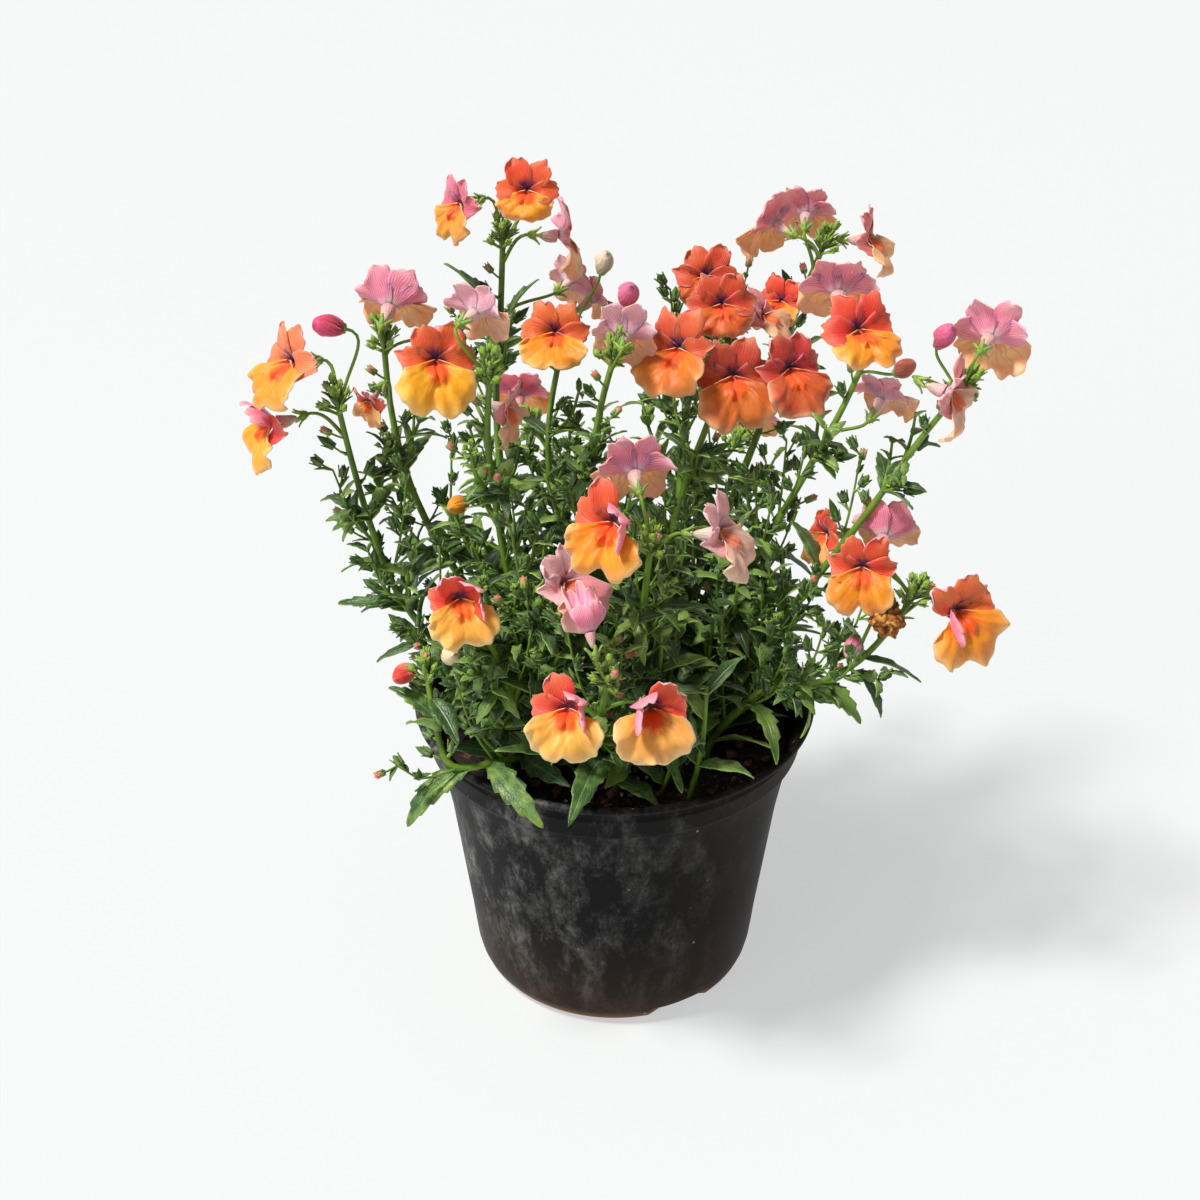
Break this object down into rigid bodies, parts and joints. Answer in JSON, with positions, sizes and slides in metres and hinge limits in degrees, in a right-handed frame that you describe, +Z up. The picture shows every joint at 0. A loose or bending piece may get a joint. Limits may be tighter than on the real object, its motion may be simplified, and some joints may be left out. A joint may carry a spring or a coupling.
{
  "type": "potted nemesia",
  "caption": "Bushy nemesia in bloom in a round black nursery pot: slender green stems with toothed leaves bear two-lipped coral, orange and pink blooms above the compost.",
  "frame": {"origin": "on the pot's axis, at the underside of its base", "axes": "+Z up along the pot's axis, -Y the plant's front as pictured, +X to its viewer's right"},
  "size_m": [0.2139, 0.1872, 0.2412],
  "materials": {
    "black_plastic": "satin moulded plastic with soil dust",
    "peat_compost": "moist and crumbly",
    "leaf_green": "satin leaf",
    "petal_coral": "soft petal",
    "petal_pink": "soft petal",
    "petal_withered": "dry and crumpled"
  },
  "bodies": {
    "root": {"pot": "black_plastic", "compost": "peat_compost", "stem_tall": "leaf_green", "stem_outer_left": "leaf_green", "stem_left": "leaf_green", "stem_mid_left": "leaf_green", "stem_centre": "leaf_green", "stem_crown": "leaf_green", "stem_far_right": "leaf_green", "stem_right": "leaf_green", "stem_outer_right": "leaf_green", "stem_front_right": "leaf_green", "stem_low_left": "leaf_green", "stem_front": "leaf_green", "stem_low_right": "leaf_green", "stem_back": "leaf_green", "bloom_tall_a": "petal_coral", "bloom_tall_b": "petal_pink", "bloom_tall_c": "petal_pink", "bloom_tall_d": "petal_pink", "bloom_outer_left_a": "petal_coral", "bloom_outer_left_b": "petal_coral", "bloom_left_a": "petal_pink", "bloom_left_b": "petal_coral", "bloom_mid_left_a": "petal_coral", "bloom_mid_left_b": "petal_pink", "bloom_mid_left_c": "petal_pink", "bloom_behind_a": "petal_coral", "bloom_behind_b": "petal_pink", "bloom_centre_a": "petal_pink", "bloom_crown_a": "petal_coral", "bloom_crown_b": "petal_coral", "bloom_crown_c": "petal_coral", "bloom_crown_d": "petal_coral", "bloom_crown_e": "petal_coral", "bloom_crown_f": "petal_pink", "bloom_far_right_a": "petal_pink", "bloom_far_right_b": "petal_pink", "bloom_far_right_c": "petal_pink", "bloom_far_right_d": "petal_coral", "bloom_right_a": "petal_pink", "bloom_right_b": "petal_coral", "bloom_right_c": "petal_pink", "bloom_outer_right_a": "petal_pink", "bloom_outer_right_b": "petal_pink", "bloom_front_right_a": "petal_pink", "bloom_front_right_b": "petal_coral", "bloom_front_right_c": "petal_pink", "bloom_low_left_a": "petal_coral", "bloom_low_left_b": "petal_pink", "bloom_front_a": "petal_coral", "bloom_front_b": "petal_coral", "bloom_front_c": "petal_pink", "bloom_low_right_a": "petal_pink", "bloom_low_right_b": "petal_coral", "bloom_low_right_c": "petal_coral", "bloom_low_right_d": "petal_coral", "bloom_back_a": "petal_coral", "bloom_back_b": "petal_coral", "bloom_withered": "petal_withered"}
  },
  "joints": []
}
